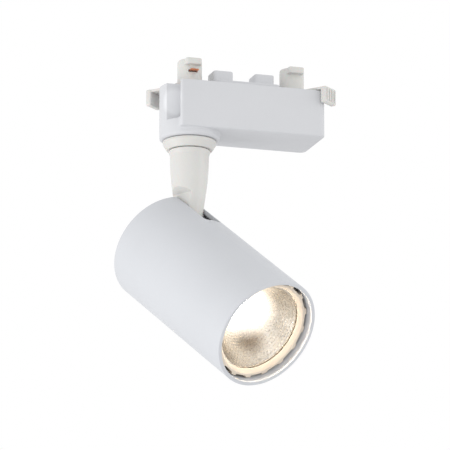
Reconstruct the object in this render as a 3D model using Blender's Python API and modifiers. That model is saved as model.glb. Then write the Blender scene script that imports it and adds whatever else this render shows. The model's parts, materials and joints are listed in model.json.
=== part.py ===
"""Track spotlight: an adapter box with two turn-to-lock turrets, a swivelling stem and a tilting barrel head.

Metres, +Z up. The origin is the centre of the adapter's seat, the flat that rests against the underside of
the track. +X runs along the track. The stem turns about the vertical axis through (-HUB_X, 0), and the head
tilts about a level pin through its own axis. The head is shown swivelled to PAN_DEG and pointing TILT_DEG
below level.
"""
from math import cos, pi, radians, sin, sqrt

import bmesh
import bpy
from mathutils import Matrix, Vector

# ---- Driving dimensions ----
GAP = 0.0003                    # kept between neighbouring solids
RUNNING_GAP = 0.0004            # round the turrets and the swivel tube

BOX_LEFT = -0.0353              # adapter box
BOX_RIGHT = 0.0383
BOX_DEPTH = 0.033
BOX_TOP = -0.0020               # rim, below the track by the levers' thickness
BOX_BOTTOM = -0.0251
BOX_WALL = 0.0020
LEFT_CORNER = 0.0014            # roundings of the box's upright edges
RIGHT_CORNER = 0.0035
INNER_CORNER = 0.0010
COVER_THICK = 0.0020
HUB_X = 0.0262                  # both turrets, and the swivel under the left one
BOSS_RADIUS = 0.0147
BOSS_TOP = -0.0204              # the full boss ends here; above it only a column goes on
BOSS_BOTTOM = -0.0286
COLUMN_HALF_WIDTH = 0.0061
END_WALL = -0.0314              # outside of the left end wall, in two pockets beside the column
LIP_THICK = 0.0016              # of the long sides where they pass the end wall
HUB_ROOM = 0.0073               # hollow round the left turret and the swivel's nut
TAB_ROOM = (0.0095, -0.0214)    # hollow for the swivel stop's tab: radius and ceiling
LEFT_POST = (-0.0265, 0.0117, 0.0022)   # posts for the cover's screws: x, distance from the middle, radius
RIGHT_POST = (0.0333, 0.0116, 0.0032)
COVER_SCREW_HOLE = 0.0013

SEAT_SIZE = (0.032, 0.027)      # raised pad that bears on the track
KEEL_SIZE = (0.010, 0.011, 0.007)
KEEL_X = 0.0105

TURRET_RADIUS = 0.0060
TURRET_TOP = 0.0120
TURRET_BOTTOM = -0.0065
LOCKED_DEG = -50.0              # the right lever's heading when locked; the left one's is opposite
WING_SIZE = (0.0080, 0.0166, 0.0032)
WING_LOW = 0.0084               # over the track's lips
GROOVE_RADIUS = 0.0046          # for the spring clip under the cover
GROOVE_TOP = -0.0045
GROOVE_BOTTOM = -0.0055
CLIP_RADIUS = 0.0070
LEVER_TOP = -0.0003
LEVER_THICK = 0.0014
LEVER_DISC = 0.0080
ARM_WIDTH = 0.0090
TAB_INNER = 0.0194
TAB_OUTER = 0.0224
TAB_WIDTH = 0.0100
TAB_BOTTOM = -0.0085

PAN_DEG = -63.0                 # heading of the beam, from +X
TILT_DEG = 37.0                 # beam below level
PIVOT_Z = -0.0927
WASHER_RADIUS = 0.0072          # swivel stop: the washer's tab meets a post on the housing's floor
TAB_REACH = 0.0091
STOP_POST = (0.0079, 0.0104)    # nearest and farthest reach of the post
STOP_HALF_WIDTH = 0.0006

TUBE_OUTER = 0.0049             # hollow swivel tube
TUBE_INNER = 0.0032
TUBE_TOP = -0.0150
TUBE_BOTTOM = -0.0375
COLLAR_RADIUS = 0.0130
COLLAR_BOTTOM = -0.0334
STEM_TOP = -0.0337
STEM_BORE = 0.0029
PIN_RADIUS = 0.0024

HEAD_RADIUS = 0.0275
HEAD_WALL = 0.0019
HEAD_REAR = 0.0249              # behind the tilt pin
HEAD_FRONT = -0.0661            # in front of the tilt pin
SLOT_WIDTH = 0.0108             # for the stem
SLOT_END = -0.0010
CAP_SLOT_END = -0.0082
SINK_RADIUS = 0.0252
SINK_REAR = -0.0130
SINK_FRONT = -0.0360
SINK_BASE = 0.0040
FIN_GAPS = (0.0, 0.0046, -0.0046, 0.0140, -0.0140, 0.0202, -0.0202)
FIN_GAP_WIDTH = 0.0026
SCREW_Y = 0.0093                # bracket and cap screws, in the sink's thick fins
CAP_SCREW_X = -0.0150
LEAD_X = -0.0205                # where the head's leads pass the sink, in two of its gaps
LEAD_Y = 0.0046
HOLDER_RADIUS = 0.0170
HOLDER_FRONT = -0.0403
HOLDER_SCREW_X = 0.0135
EMITTER_RADIUS = 0.0055
REFLECTOR_REAR = -0.0406
REFLECTOR_FRONT = -0.0594
REFLECTOR_THROAT = 0.0066
REFLECTOR_MOUTH = 0.0211
REFLECTOR_WALL = 0.0010
BEZEL_FRONT = -0.0623
BEZEL_SLOTS = 16

BOARD_SIZE = (0.040, 0.027, 0.0016)
BOARD_X = 0.008
BOARD_TOP = -0.0190
BOARD_RESTS = (0.016, 0.0095)   # half spacings of the four rests
BOARD_REST_RADIUS = 0.0018
WIRE_RADIUS = 0.0008

ROUND = 24                      # sides of a middling round piece

# ---- Scene ----
for old in list(bpy.data.objects):
    bpy.data.objects.remove(old, do_unlink=True)


def new_collection(name):
    made = bpy.data.collections.new(name)
    bpy.context.scene.collection.children.link(made)
    return made


PARTS = new_collection("track_spotlight")
CUTTERS = new_collection("cutters")


def new_material(name, colour, roughness, metallic=0.0):
    made = bpy.data.materials.new(name)
    made.use_nodes = True
    shader = made.node_tree.nodes["Principled BSDF"]
    shader.inputs["Base Color"].default_value = (*colour, 1.0)
    shader.inputs["Roughness"].default_value = roughness
    shader.inputs["Metallic"].default_value = metallic
    return made


def new_empty(name, location, rotation=(0.0, 0.0, 0.0), parent=None):
    made = bpy.data.objects.new(name, None)
    made.empty_display_size = 0.01
    made.location = location
    made.rotation_euler = rotation
    made.parent = parent
    PARTS.objects.link(made)
    return made


def hub(name, x):
    """A turret's upright axis."""
    return new_empty(name, (x, 0.0, 0.0))


LEFT_AXIS = hub("contact_turret_axis", -HUB_X)
RIGHT_AXIS = hub("lock_turret_axis", HUB_X)
PAN_AXIS = new_empty("pan_axis", (-HUB_X, 0.0, 0.0), (0.0, 0.0, radians(PAN_DEG)))
# At no tilt the head hangs straight down, with its rear along +Z.
TILT_AXIS = new_empty("tilt_axis", (0.0, 0.0, PIVOT_Z), (0.0, radians(TILT_DEG - 90.0), 0.0), PAN_AXIS)


# ---- Shapes ----
def place(name, mesh, material=None, parent=None, location=(0.0, 0.0, 0.0), rotation=(0.0, 0.0, 0.0)):
    """Puts a mesh in the scene: a part if it has a material, a cutter if it has none."""
    made = bpy.data.objects.new(name, mesh)
    made.location = location
    made.rotation_euler = rotation
    made.parent = parent
    if material:
        mesh.materials.append(material)
        PARTS.objects.link(made)
    else:
        made.hide_render = True
        made.display_type = "WIRE"
        CUTTERS.objects.link(made)
    return made


def to_mesh(name, bm, smooth=False):
    mesh = bpy.data.meshes.new(name)
    bm.to_mesh(mesh)
    bm.free()
    if smooth:
        mesh.shade_smooth()
        mesh.set_sharp_from_angle(angle=radians(40))
    return mesh


def block_mesh(name, low, high, upright_bevel=0.0, edge_bevel=0.0, segments=3):
    """A box between two corners, with rounded upright edges, or all edges rounded."""
    bm = bmesh.new()
    bmesh.ops.create_cube(bm, size=1.0)
    for vert in bm.verts:
        vert.co = Vector(low[i] + (vert.co[i] + 0.5) * (high[i] - low[i]) for i in range(3))
    if upright_bevel:
        edges = [e for e in bm.edges if abs(e.verts[0].co.z - e.verts[1].co.z) > 1e-6]
        bmesh.ops.bevel(bm, geom=edges, offset=upright_bevel, segments=segments, affect="EDGES", profile=0.5)
    if edge_bevel:
        edges = [e for e in bm.edges if e.calc_face_angle(0.0) > radians(50)]
        bmesh.ops.bevel(bm, geom=edges, offset=edge_bevel, segments=2, affect="EDGES", profile=0.5)
    return to_mesh(name, bm)


def block(name, low, high, material=None, parent=None, **bevels):
    return place(name, block_mesh(name, low, high, **bevels), material, parent)


def rod_mesh(name, radius, low, high, sides=ROUND, axis="Z", centre=(0.0, 0.0)):
    """A cylinder from low to high along an axis; centre is its place across that axis."""
    bm = bmesh.new()
    bmesh.ops.create_cone(
        bm, cap_ends=True, segments=sides, radius1=radius, radius2=radius, depth=high - low
    )
    middle = (low + high) / 2
    if axis == "Y":
        turn = Matrix.Rotation(-pi / 2, 4, "X")
        shift = Matrix.Translation((centre[0], middle, centre[1]))
    elif axis == "X":
        turn = Matrix.Rotation(pi / 2, 4, "Y")
        shift = Matrix.Translation((middle, centre[0], centre[1]))
    else:
        turn = Matrix.Identity(4)
        shift = Matrix.Translation((centre[0], centre[1], middle))
    bmesh.ops.transform(bm, matrix=shift @ turn, verts=bm.verts)
    return to_mesh(name, bm, smooth=sides > 8)


def rod(name, radius, low, high, material=None, parent=None, sides=ROUND, axis="Z", centre=(0.0, 0.0)):
    return place(name, rod_mesh(name, radius, low, high, sides, axis, centre), material, parent)


def turned(name, profile, material=None, parent=None, sides=ROUND, location=(0.0, 0.0, 0.0), closed=True):
    """A profile of (radius, height) points turned about Z. It runs down the outer side first."""
    mesh = bpy.data.meshes.new(name)
    points = [(radius, 0.0, height) for radius, height in profile]
    edges = [(i, i + 1) for i in range(len(points) - 1)]
    if closed:
        edges.append((len(points) - 1, 0))
    mesh.from_pydata(points, edges, [])
    made = place(name, mesh, material, parent, location)
    screw = made.modifiers.new("turn", "SCREW")
    screw.axis = "Z"
    screw.steps = sides
    screw.render_steps = sides
    screw.use_merge_vertices = True
    screw.merge_threshold = 0.00001
    screw.use_smooth_shade = True
    return made


def plate_mesh(name, outline, thickness):
    """A flat outline in XY, thickened equally up and down, as a mesh."""
    curve = bpy.data.curves.new(name, "CURVE")
    curve.dimensions = "2D"
    curve.fill_mode = "BOTH"
    curve.extrude = thickness / 2
    spline = curve.splines.new("POLY")
    spline.points.add(len(outline) - 1)
    for point, (x, y) in zip(spline.points, outline):
        point.co = (x, y, 0.0, 1.0)
    spline.use_cyclic_u = True
    guide = bpy.data.objects.new(name, curve)
    bpy.context.scene.collection.objects.link(guide)
    evaluated = guide.evaluated_get(bpy.context.evaluated_depsgraph_get())
    mesh = bpy.data.meshes.new_from_object(evaluated)
    bpy.data.objects.remove(guide)
    bm = bmesh.new()
    bm.from_mesh(mesh)
    bmesh.ops.remove_doubles(bm, verts=bm.verts, dist=0.000001)
    bm.to_mesh(mesh)
    bm.free()
    return mesh


def wire(name, points, material, parent=None, location=(0.0, 0.0, 0.0)):
    """A short insulated lead through a few points, smoothed between them."""
    curve = bpy.data.curves.new(name, "CURVE")
    curve.dimensions = "3D"
    curve.bevel_depth = WIRE_RADIUS
    curve.bevel_resolution = 2
    curve.use_fill_caps = True
    route = smooth_route([Vector(p) for p in points], 2)
    spline = curve.splines.new("POLY")
    spline.points.add(len(route) - 1)
    for point, place_at in zip(spline.points, route):
        point.co = (*place_at, 1.0)
    curve.materials.append(material)
    made = bpy.data.objects.new(name, curve)
    made.location = location
    made.parent = parent
    PARTS.objects.link(made)
    return made


def smooth_route(points, pieces):
    """Catmull-Rom points between the given ones."""
    padded = [2 * points[0] - points[1], *points, 2 * points[-1] - points[-2]]
    route = [points[0]]
    for a, b, c, d in zip(padded, padded[1:], padded[2:], padded[3:]):
        for step in range(1, pieces + 1):
            t = step / pieces
            square = (2 * a - 5 * b + 4 * c - d) * t ** 2
            cube = (3 * b - a - 3 * c + d) * t ** 3
            route.append((2 * b + (c - a) * t + square + cube) / 2)
    return route


def cut(target, *cutters):
    for cutter in cutters:
        modifier = target.modifiers.new("cut", "BOOLEAN")
        modifier.operation = "DIFFERENCE"
        modifier.solver = "EXACT"
        modifier.object = cutter


def join(target, *others):
    for other in others:
        modifier = target.modifiers.new("join", "BOOLEAN")
        modifier.operation = "UNION"
        modifier.solver = "EXACT"
        modifier.object = other


def many(name, meshes, parent=None):
    """Several closed meshes as one cutter."""
    bm = bmesh.new()
    for mesh in meshes:
        bm.from_mesh(mesh)
        bpy.data.meshes.remove(mesh)
    return place(name, to_mesh(name, bm), None, parent)


# ---- Materials ----
WHITE = new_material("white_paint", (0.66, 0.67, 0.69), 0.45)
HOUSING_PLASTIC = new_material("housing_plastic", (0.66, 0.67, 0.69), 0.50)
IVORY = new_material("ivory_plastic", (0.74, 0.73, 0.66), 0.45)
BEZEL_IVORY = new_material("bezel_plastic", (0.80, 0.74, 0.64), 0.40)
STEEL = new_material("zinc_steel", (0.62, 0.62, 0.62), 0.30, 1.0)
COPPER = new_material("copper", (0.72, 0.38, 0.22), 0.30, 1.0)
SINK_ALUMINIUM = new_material("sink_aluminium", (0.70, 0.71, 0.72), 0.35, 1.0)
MIRROR_ALUMINIUM = new_material("mirror_aluminium", (0.88, 0.84, 0.78), 0.15, 1.0)
BOARD_GREEN = new_material("board_green", (0.06, 0.20, 0.09), 0.50)
CERAMIC = new_material("cob_ceramic", (0.85, 0.85, 0.82), 0.40)
PHOSPHOR = new_material("phosphor", (0.95, 0.78, 0.25), 0.60)
FERRITE = new_material("ferrite", (0.08, 0.08, 0.09), 0.60)
TAPE = new_material("winding_tape", (0.80, 0.62, 0.10), 0.50)
CAN_SLEEVE = new_material("capacitor_sleeve", (0.05, 0.06, 0.09), 0.35)
CHIP_BLACK = new_material("chip_black", (0.03, 0.03, 0.03), 0.50)
FUSE_GREEN = new_material("fuse_body", (0.15, 0.32, 0.30), 0.50)
POM = new_material("pom", (0.12, 0.12, 0.12), 0.40)
HOLDER_WHITE = new_material("holder_plastic", (0.85, 0.85, 0.85), 0.40)
RED_LEAD = new_material("red_lead", (0.55, 0.04, 0.03), 0.45)
BLACK_LEAD = new_material("black_lead", (0.03, 0.03, 0.03), 0.45)


# ---- Adapter ----
def sides_of(pair):
    """The four places of a pair of half-distances, one in each corner."""
    return [(sx * pair[0], sy * pair[1]) for sx in (-1, 1) for sy in (-1, 1)]


SCREW_SPOTS = [(x, side * y) for x, y, _ in (LEFT_POST, RIGHT_POST) for side in (-1, 1)]


def box_mesh(name, low, high, left, right):
    """A box whose upright edges are rounded by one radius at the left and another at the right."""
    bm = bmesh.new()
    bm.from_mesh(block_mesh(name, low, high))
    for radius, x in ((left, low[0]), (right, high[0])):
        edges = [e for e in bm.edges if all(abs(v.co.x - x) < 1e-6 for v in e.verts)]
        edges = [e for e in edges if abs(e.verts[0].co.z - e.verts[1].co.z) > 1e-6]
        bmesh.ops.bevel(bm, geom=edges, offset=radius, segments=4, affect="EDGES", profile=0.5)
    return to_mesh(name, bm, smooth=True)


def adapter_housing():
    """Open-topped box with the swivel's boss and column at its left end, screw posts and board rests."""
    half_y = BOX_DEPTH / 2
    floor = BOX_BOTTOM + BOX_WALL
    low, high = (BOX_LEFT, -half_y, BOX_BOTTOM), (BOX_RIGHT, half_y, BOX_TOP)
    mesh = box_mesh("adapter_housing", low, high, LEFT_CORNER, RIGHT_CORNER)
    housing = place("adapter_housing", mesh, HOUSING_PLASTIC)
    edge = 0.0014
    boss = turned(
        "boss",
        [(0.0, BOX_TOP), (BOSS_RADIUS, BOX_TOP), (BOSS_RADIUS, BOSS_BOTTOM + edge),
         (BOSS_RADIUS - edge, BOSS_BOTTOM), (0.0, BOSS_BOTTOM)],
        sides=36, location=(-HUB_X, 0.0, 0.0), closed=False,
    )
    join(housing, boss)
    for side in (-1, 1):
        near, far = sorted((side * COLUMN_HALF_WIDTH, side * (half_y - LIP_THICK)))
        cut(housing, block(f"end_pocket_{side}", (-0.05, near, BOSS_TOP), (END_WALL, far, 0.01)))
    cavity = block(
        "housing_cavity", (END_WALL + BOX_WALL, BOX_WALL - half_y, floor),
        (BOX_RIGHT - BOX_WALL, half_y - BOX_WALL, 0.01), upright_bevel=INNER_CORNER, segments=2,
    )
    hub = (-HUB_X, 0.0)
    cut(housing, cavity)
    cut(housing, rod("hub_room", HUB_ROOM, floor, 0.01, sides=32, centre=hub))
    cut(housing, rod("tab_room", TAB_ROOM[0], floor, TAB_ROOM[1], sides=32, centre=hub))
    root = floor - BOX_WALL / 2
    post_top = BOX_TOP - COVER_THICK - GAP
    for x, reach, radius in (LEFT_POST, RIGHT_POST):
        for side in (-1, 1):
            join(housing, rod("screw_post", radius, root, post_top, sides=16, centre=(x, side * reach)))
    rest_top = BOARD_TOP - BOARD_SIZE[2] - GAP
    for number, (x, y) in enumerate(sides_of(BOARD_RESTS)):
        spot = (BOARD_X + x, y)
        join(housing, rod(f"board_rest_{number}", BOARD_REST_RADIUS, root, rest_top, sides=8, centre=spot))
    join(housing, swivel_stop_post(floor))
    holes = [
        rod_mesh("pilot", COVER_SCREW_HOLE, post_top - 0.009, 0.0, 12, centre=spot) for spot in SCREW_SPOTS
    ]
    bore = TUBE_OUTER + RUNNING_GAP
    holes.append(rod_mesh("swivel_bore", bore, BOSS_BOTTOM - 0.001, floor + 0.001, centre=hub))
    cut(housing, many("housing_holes", holes))


def swivel_stop_post(floor):
    """Stands opposite the stop washer's tab, so that the swivel stops just short of half a turn each way."""
    near, far = STOP_POST
    post = block(
        "stop_post", (near, -STOP_HALF_WIDTH, floor - BOX_WALL / 2),
        (far, STOP_HALF_WIDTH, TAB_ROOM[1] + 0.0005),
    )
    post.rotation_euler = (0.0, 0.0, radians(PAN_DEG + 180.0))
    post.location = (-HUB_X, 0.0, 0.0)
    return post


def adapter_cover():
    """Lid inside the rim, with the seat pad, the keel blocks that enter the track, and the turrets' holes."""
    clear = BOX_WALL + GAP
    half_y = BOX_DEPTH / 2 - clear
    bottom = BOX_TOP - COVER_THICK
    cover = block(
        "adapter_cover", (END_WALL + clear, -half_y, bottom), (BOX_RIGHT - clear, half_y, BOX_TOP),
        HOUSING_PLASTIC, upright_bevel=INNER_CORNER, segments=2,
    )
    join(cover, rod("cover_ear", HUB_ROOM - GAP, bottom, BOX_TOP, sides=32, centre=(-HUB_X, 0.0)))
    seat_x, seat_y = SEAT_SIZE[0] / 2, SEAT_SIZE[1] / 2
    seat = block(
        "seat_pad", (-seat_x, -seat_y, bottom + COVER_THICK / 2), (seat_x, seat_y, 0.0), upright_bevel=0.002
    )
    join(cover, seat)
    for side in (-1, 1):
        middle = side * KEEL_X
        keel = block(
            f"keel_{side}", (middle - KEEL_SIZE[0] / 2, -KEEL_SIZE[1] / 2, -0.001),
            (middle + KEEL_SIZE[0] / 2, KEEL_SIZE[1] / 2, KEEL_SIZE[2]), upright_bevel=0.0015,
        )
        join(cover, keel)
    bore = TURRET_RADIUS + RUNNING_GAP
    holes = [
        rod_mesh("turret_hole", bore, bottom - 0.001, 0.001, centre=(side * HUB_X, 0.0)) for side in (-1, 1)
    ]
    for spot in SCREW_SPOTS:
        holes.append(rod_mesh("screw_hole", COVER_SCREW_HOLE, bottom - 0.001, 0.001, 12, centre=spot))
    cut(cover, many("cover_holes", holes))
    sinks = [rod_mesh("screw_sink", 0.0021, BOX_TOP - 0.0012, 0.001, 20, centre=spot) for spot in SCREW_SPOTS]
    cut(cover, many("cover_sinks", sinks))


def screw(name, head_radius, head_height, shaft_radius, length, parent=None, location=(0.0, 0.0, 0.0)):
    """Steel pan-head screw, its head above the origin and its shaft below, with a hexagon socket."""
    made = turned(
        name,
        [(0.0, head_height), (head_radius * 0.75, head_height), (head_radius, head_height * 0.6),
         (head_radius, 0.0), (shaft_radius, 0.0), (shaft_radius, -length + shaft_radius), (0.0, -length)],
        STEEL, parent, sides=12, location=location, closed=False,
    )
    socket = rod(
        f"{name}_socket", head_radius * 0.45, head_height * 0.4, head_height * 2, None, parent, sides=6
    )
    socket.location = location
    cut(made, socket)
    return made


def cover_screws():
    for number, (x, y) in enumerate(SCREW_SPOTS, 1):
        screw(f"cover_screw_{number}", 0.0018, 0.0009, 0.0010, 0.0085, location=(x, y, BOX_TOP - 0.0009))


# ---- Turrets ----
def lever_outline_parts(name, axis, heading):
    """Arm over the box's rim, the finger tab outside it and the tab's ribs, to join to a turret."""
    low = LEVER_TOP - LEVER_THICK
    arm = block(
        f"{name}_arm", (0.003, -ARM_WIDTH / 2, low + 0.00005),
        (TAB_OUTER - 0.0010, ARM_WIDTH / 2, LEVER_TOP - 0.00005), None, axis,
    )
    tab = block(
        f"{name}_tab", (TAB_INNER, -TAB_WIDTH / 2, TAB_BOTTOM), (TAB_OUTER, TAB_WIDTH / 2, LEVER_TOP),
        None, axis, edge_bevel=0.0007,
    )
    made = [arm, tab]
    for number in range(3):
        y = (number - 1) * 0.0026
        made.append(
            block(
                f"{name}_rib_{number}", (TAB_OUTER - 0.001, y - 0.0006, TAB_BOTTOM + 0.0012),
                (TAB_OUTER + 0.0006, y + 0.0006, LEVER_TOP - 0.0010), None, axis,
            )
        )
    for piece in made:
        piece.rotation_euler = (0.0, 0.0, radians(heading))
    return made


def turret(name, axis, heading):
    """Stepped plug through the cover, with its lever and the wing that turns behind the track's lips."""
    made = turned(
        name,
        [(0.0, TURRET_TOP), (TURRET_RADIUS - 0.001, TURRET_TOP), (TURRET_RADIUS, TURRET_TOP - 0.001),
         (TURRET_RADIUS, LEVER_TOP), (LEVER_DISC, LEVER_TOP), (LEVER_DISC, LEVER_TOP - LEVER_THICK),
         (TURRET_RADIUS, LEVER_TOP - LEVER_THICK), (TURRET_RADIUS, GROOVE_TOP), (GROOVE_RADIUS, GROOVE_TOP),
         (GROOVE_RADIUS, GROOVE_BOTTOM), (TURRET_RADIUS, GROOVE_BOTTOM), (TURRET_RADIUS, TURRET_BOTTOM),
         (0.0, TURRET_BOTTOM)],
        IVORY, axis, closed=False,
    )
    half_x, half_y, height = WING_SIZE[0] / 2, WING_SIZE[1] / 2, WING_SIZE[2]
    wing = block(
        f"{name}_wing", (-half_x, -half_y, WING_LOW), (half_x, half_y, WING_LOW + height), None, axis,
        upright_bevel=0.0015,
    )
    join(made, wing, *lever_outline_parts(name, axis, heading))
    return made


def retaining_clip(name, axis):
    """Open ring in the turret's groove, under the cover."""
    outer, inner = CLIP_RADIUS, GROOVE_RADIUS + GAP
    high, low = GROOVE_TOP - 0.0002, GROOVE_BOTTOM + 0.0002
    ring = turned(name, [(outer, high), (outer, low), (inner, low), (inner, high)], STEEL, axis, sides=24)
    cut(ring, block(f"{name}_mouth", (0.0, -0.0038, -0.01), (0.02, 0.0038, 0.0), None, axis))


def contact_blade(name, axis, side, turret_object):
    """Bent strip: its leg runs down inside the turret and its tip reaches out to the track's conductor."""
    leg_in, leg_out, tip_out = 0.0030, 0.0036, 0.0088
    half, tip_low, tip_high, foot = 0.0020, 0.0052, 0.0058, -0.0095
    outline = [(leg_in, foot), (leg_out, foot), (leg_out, tip_low), (tip_out, tip_low), (tip_out, tip_high),
               (leg_in, tip_high)]
    mesh = plate_mesh(name, [(side * y, z) for y, z in outline][::side], 2 * half)
    stand = Matrix.Rotation(pi / 2, 4, "Z") @ Matrix.Rotation(pi / 2, 4, "X")
    mesh.transform(stand)
    place(name, mesh, COPPER, axis)
    wide, room = half + GAP, GAP
    spans = [((leg_in - room, TURRET_BOTTOM - 0.001), (leg_out + room, tip_high + room)),
             ((leg_in, tip_low - room), (TURRET_RADIUS + 0.002, tip_high + room))]
    for number, ((y0, z0), (y1, z1)) in enumerate(spans):
        near, far = sorted((side * y0, side * y1))
        cut(turret_object, block(f"{name}_channel_{number}", (-wide, near, z0), (wide, far, z1), None, axis))


def turrets():
    left = turret("contact_turret", LEFT_AXIS, LOCKED_DEG + 180.0)
    contact_blade("live_contact", LEFT_AXIS, 1, left)
    contact_blade("neutral_contact", LEFT_AXIS, -1, left)
    turret("lock_turret", RIGHT_AXIS, LOCKED_DEG)
    retaining_clip("contact_turret_clip", LEFT_AXIS)
    retaining_clip("lock_turret_clip", RIGHT_AXIS)


# ---- Driver ----
def driver_board():
    half_x, half_y, low = BOARD_SIZE[0] / 2, BOARD_SIZE[1] / 2, BOARD_TOP - BOARD_SIZE[2]
    near, far = (BOARD_X - half_x, -half_y, low), (BOARD_X + half_x, half_y, BOARD_TOP)
    block("driver_board", near, far, BOARD_GREEN)


def standing(name, x, y, size, material, **bevels):
    """A box-shaped component on the board."""
    low = BOARD_TOP + GAP
    return block(
        name, (x - size[0] / 2, y - size[1] / 2, low), (x + size[0] / 2, y + size[1] / 2, low + size[2]),
        material, **bevels,
    )


def capacitor(name, x, y, radius, height):
    low = BOARD_TOP + GAP
    groove = low + 0.0016
    turned(
        name,
        [(0.0, low + height), (radius - 0.0005, low + height), (radius, low + height - 0.0005),
         (radius, groove + 0.0005), (radius - 0.0004, groove), (radius, groove - 0.0005),
         (radius, low + 0.0003), (radius - 0.0003, low), (0.0, low)],
        CAN_SLEEVE, sides=16, location=(x, y, 0.0), closed=False,
    )


def transformer():
    """Ferrite core round a taped winding."""
    x = 0.0075
    core = standing(
        "transformer_core", x, 0.0, (0.0140, 0.0110, 0.0108), FERRITE, upright_bevel=0.0005, segments=1
    )
    half, low = 0.0044, BOARD_TOP + GAP + 0.0022
    high = low + 0.0064
    cut(core, block("core_window", (x - half, -0.02, low), (x + half, 0.02, high)))
    near, far = (x - half + GAP, -0.0076, low + GAP), (x + half - GAP, 0.0076, high - GAP)
    block("transformer_winding", near, far, TAPE, edge_bevel=0.0010)


def driver_parts():
    driver_board()
    transformer()
    capacitor("input_capacitor", 0.0205, -0.0070, 0.0040, 0.0110)
    capacitor("output_capacitor", -0.0070, 0.0085, 0.0032, 0.0100)
    standing("bridge_rectifier", 0.0205, 0.0030, (0.0050, 0.0042, 0.0024), CHIP_BLACK, edge_bevel=0.0003)
    standing("driver_chip", -0.0060, -0.0065, (0.0050, 0.0040, 0.0016), CHIP_BLACK, edge_bevel=0.0003)
    low = BOARD_TOP + GAP
    radius = 0.0014
    centre = (0.0105, low + radius)
    rod("fuse_resistor", radius, 0.0140, 0.0210, FUSE_GREEN, sides=16, axis="X", centre=centre)
    turned(
        "choke_coil",
        [(0.0, low + 0.006), (0.0030, low + 0.006), (0.0030, low + 0.005), (0.0024, low + 0.005),
         (0.0024, low + 0.001), (0.0030, low + 0.001), (0.0030, low), (0.0, low)],
        FERRITE, sides=20, location=(-0.0003, -0.0098, 0.0), closed=False,
    )


def adapter_leads():
    """From the contacts to the board, and from the board to the hollow swivel."""
    top = BOARD_TOP + GAP + WIRE_RADIUS + 0.0002
    for name, side, material in (("live_lead", 1, RED_LEAD), ("neutral_lead", -1, BLACK_LEAD)):
        wire(
            name,
            [(-0.0100, side * 0.0120, top), (-0.0140, side * 0.0118, -0.0150),
             (-0.0180, side * 0.0100, -0.0105), (-0.0220, side * 0.0080, -0.0086),
             (-0.0245, side * 0.0066, -0.0084)],
            material,
        )
    for name, side, material in (("output_lead_red", 1, RED_LEAD), ("output_lead_black", -1, BLACK_LEAD)):
        wire(
            name,
            [(-0.0105, side * 0.0030, top), (-0.0145, side * 0.0028, -0.0150),
             (-0.0190, side * 0.0020, -0.0118), (-0.0235, side * 0.0012, -0.0112),
             (-0.0262, side * 0.0011, -0.0126)],
            material,
        )


# ---- Swivel and stem ----
def swivel():
    floor = BOX_BOTTOM + BOX_WALL
    bore = TUBE_OUTER + GAP
    turned(
        "swivel_tube",
        [(TUBE_OUTER, TUBE_TOP), (TUBE_OUTER, TUBE_BOTTOM), (TUBE_INNER, TUBE_BOTTOM),
         (TUBE_INNER, TUBE_TOP)],
        STEEL, PAN_AXIS,
    )
    washer_low = floor + GAP
    washer_high = washer_low + 0.0010
    washer = turned(
        "stop_washer",
        [(WASHER_RADIUS, washer_high), (WASHER_RADIUS, washer_low), (bore, washer_low), (bore, washer_high)],
        STEEL, PAN_AXIS,
    )
    tab = block(
        "stop_tab", (WASHER_RADIUS - 0.001, -STOP_HALF_WIDTH, washer_low + 0.00005),
        (TAB_REACH, STOP_HALF_WIDTH, washer_high - 0.00005), None, PAN_AXIS,
    )
    join(washer, tab)
    nut_low = washer_high + GAP
    nut = rod("swivel_nut", 0.0070, nut_low, nut_low + 0.0045, STEEL, PAN_AXIS, sides=6)
    cut(nut, rod("swivel_nut_bore", bore, nut_low - 0.001, nut_low + 0.006, None, PAN_AXIS))
    ring_top = BOSS_BOTTOM - GAP
    ring_low = ring_top - 0.0006
    turned(
        "friction_ring", [(0.0101, ring_top), (0.0101, ring_low), (0.0056, ring_low), (0.0056, ring_top)], POM
    ).location = (-HUB_X, 0.0, 0.0)
    turned(
        "swivel_collar",
        [(COLLAR_RADIUS - 0.0004, ring_top), (COLLAR_RADIUS, ring_top - 0.0004), (COLLAR_RADIUS, -0.0302),
         (COLLAR_RADIUS - 0.0006, -0.0316), (COLLAR_RADIUS - 0.0020, COLLAR_BOTTOM), (bore, COLLAR_BOTTOM),
         (bore, ring_low - GAP), (0.0104, ring_low - GAP), (0.0104, ring_top)],
        IVORY, PAN_AXIS, sides=36,
    )


STEM_PROFILE = (
    (0.0000, STEM_TOP), (0.0102, STEM_TOP), (0.0098, -0.0346), (0.0095, -0.0362), (0.0093, -0.0430),
    (0.0088, -0.0495), (0.0083, -0.0530), (0.0080, -0.0565), (0.0074, -0.0600), (0.0069, -0.0630),
    (0.0066, -0.0680), (0.0063, -0.0800), (0.0068, -0.0890), (0.0070, PIVOT_Z),
)
FLAT_OUTLINE = (
    (0.0040, -0.1100), (0.0040, -0.0840), (0.0047, -0.0825), (0.0047, -0.0554), (0.0089, -0.0522),
    (0.0200, -0.0522), (0.0200, -0.1100),
)


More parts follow.
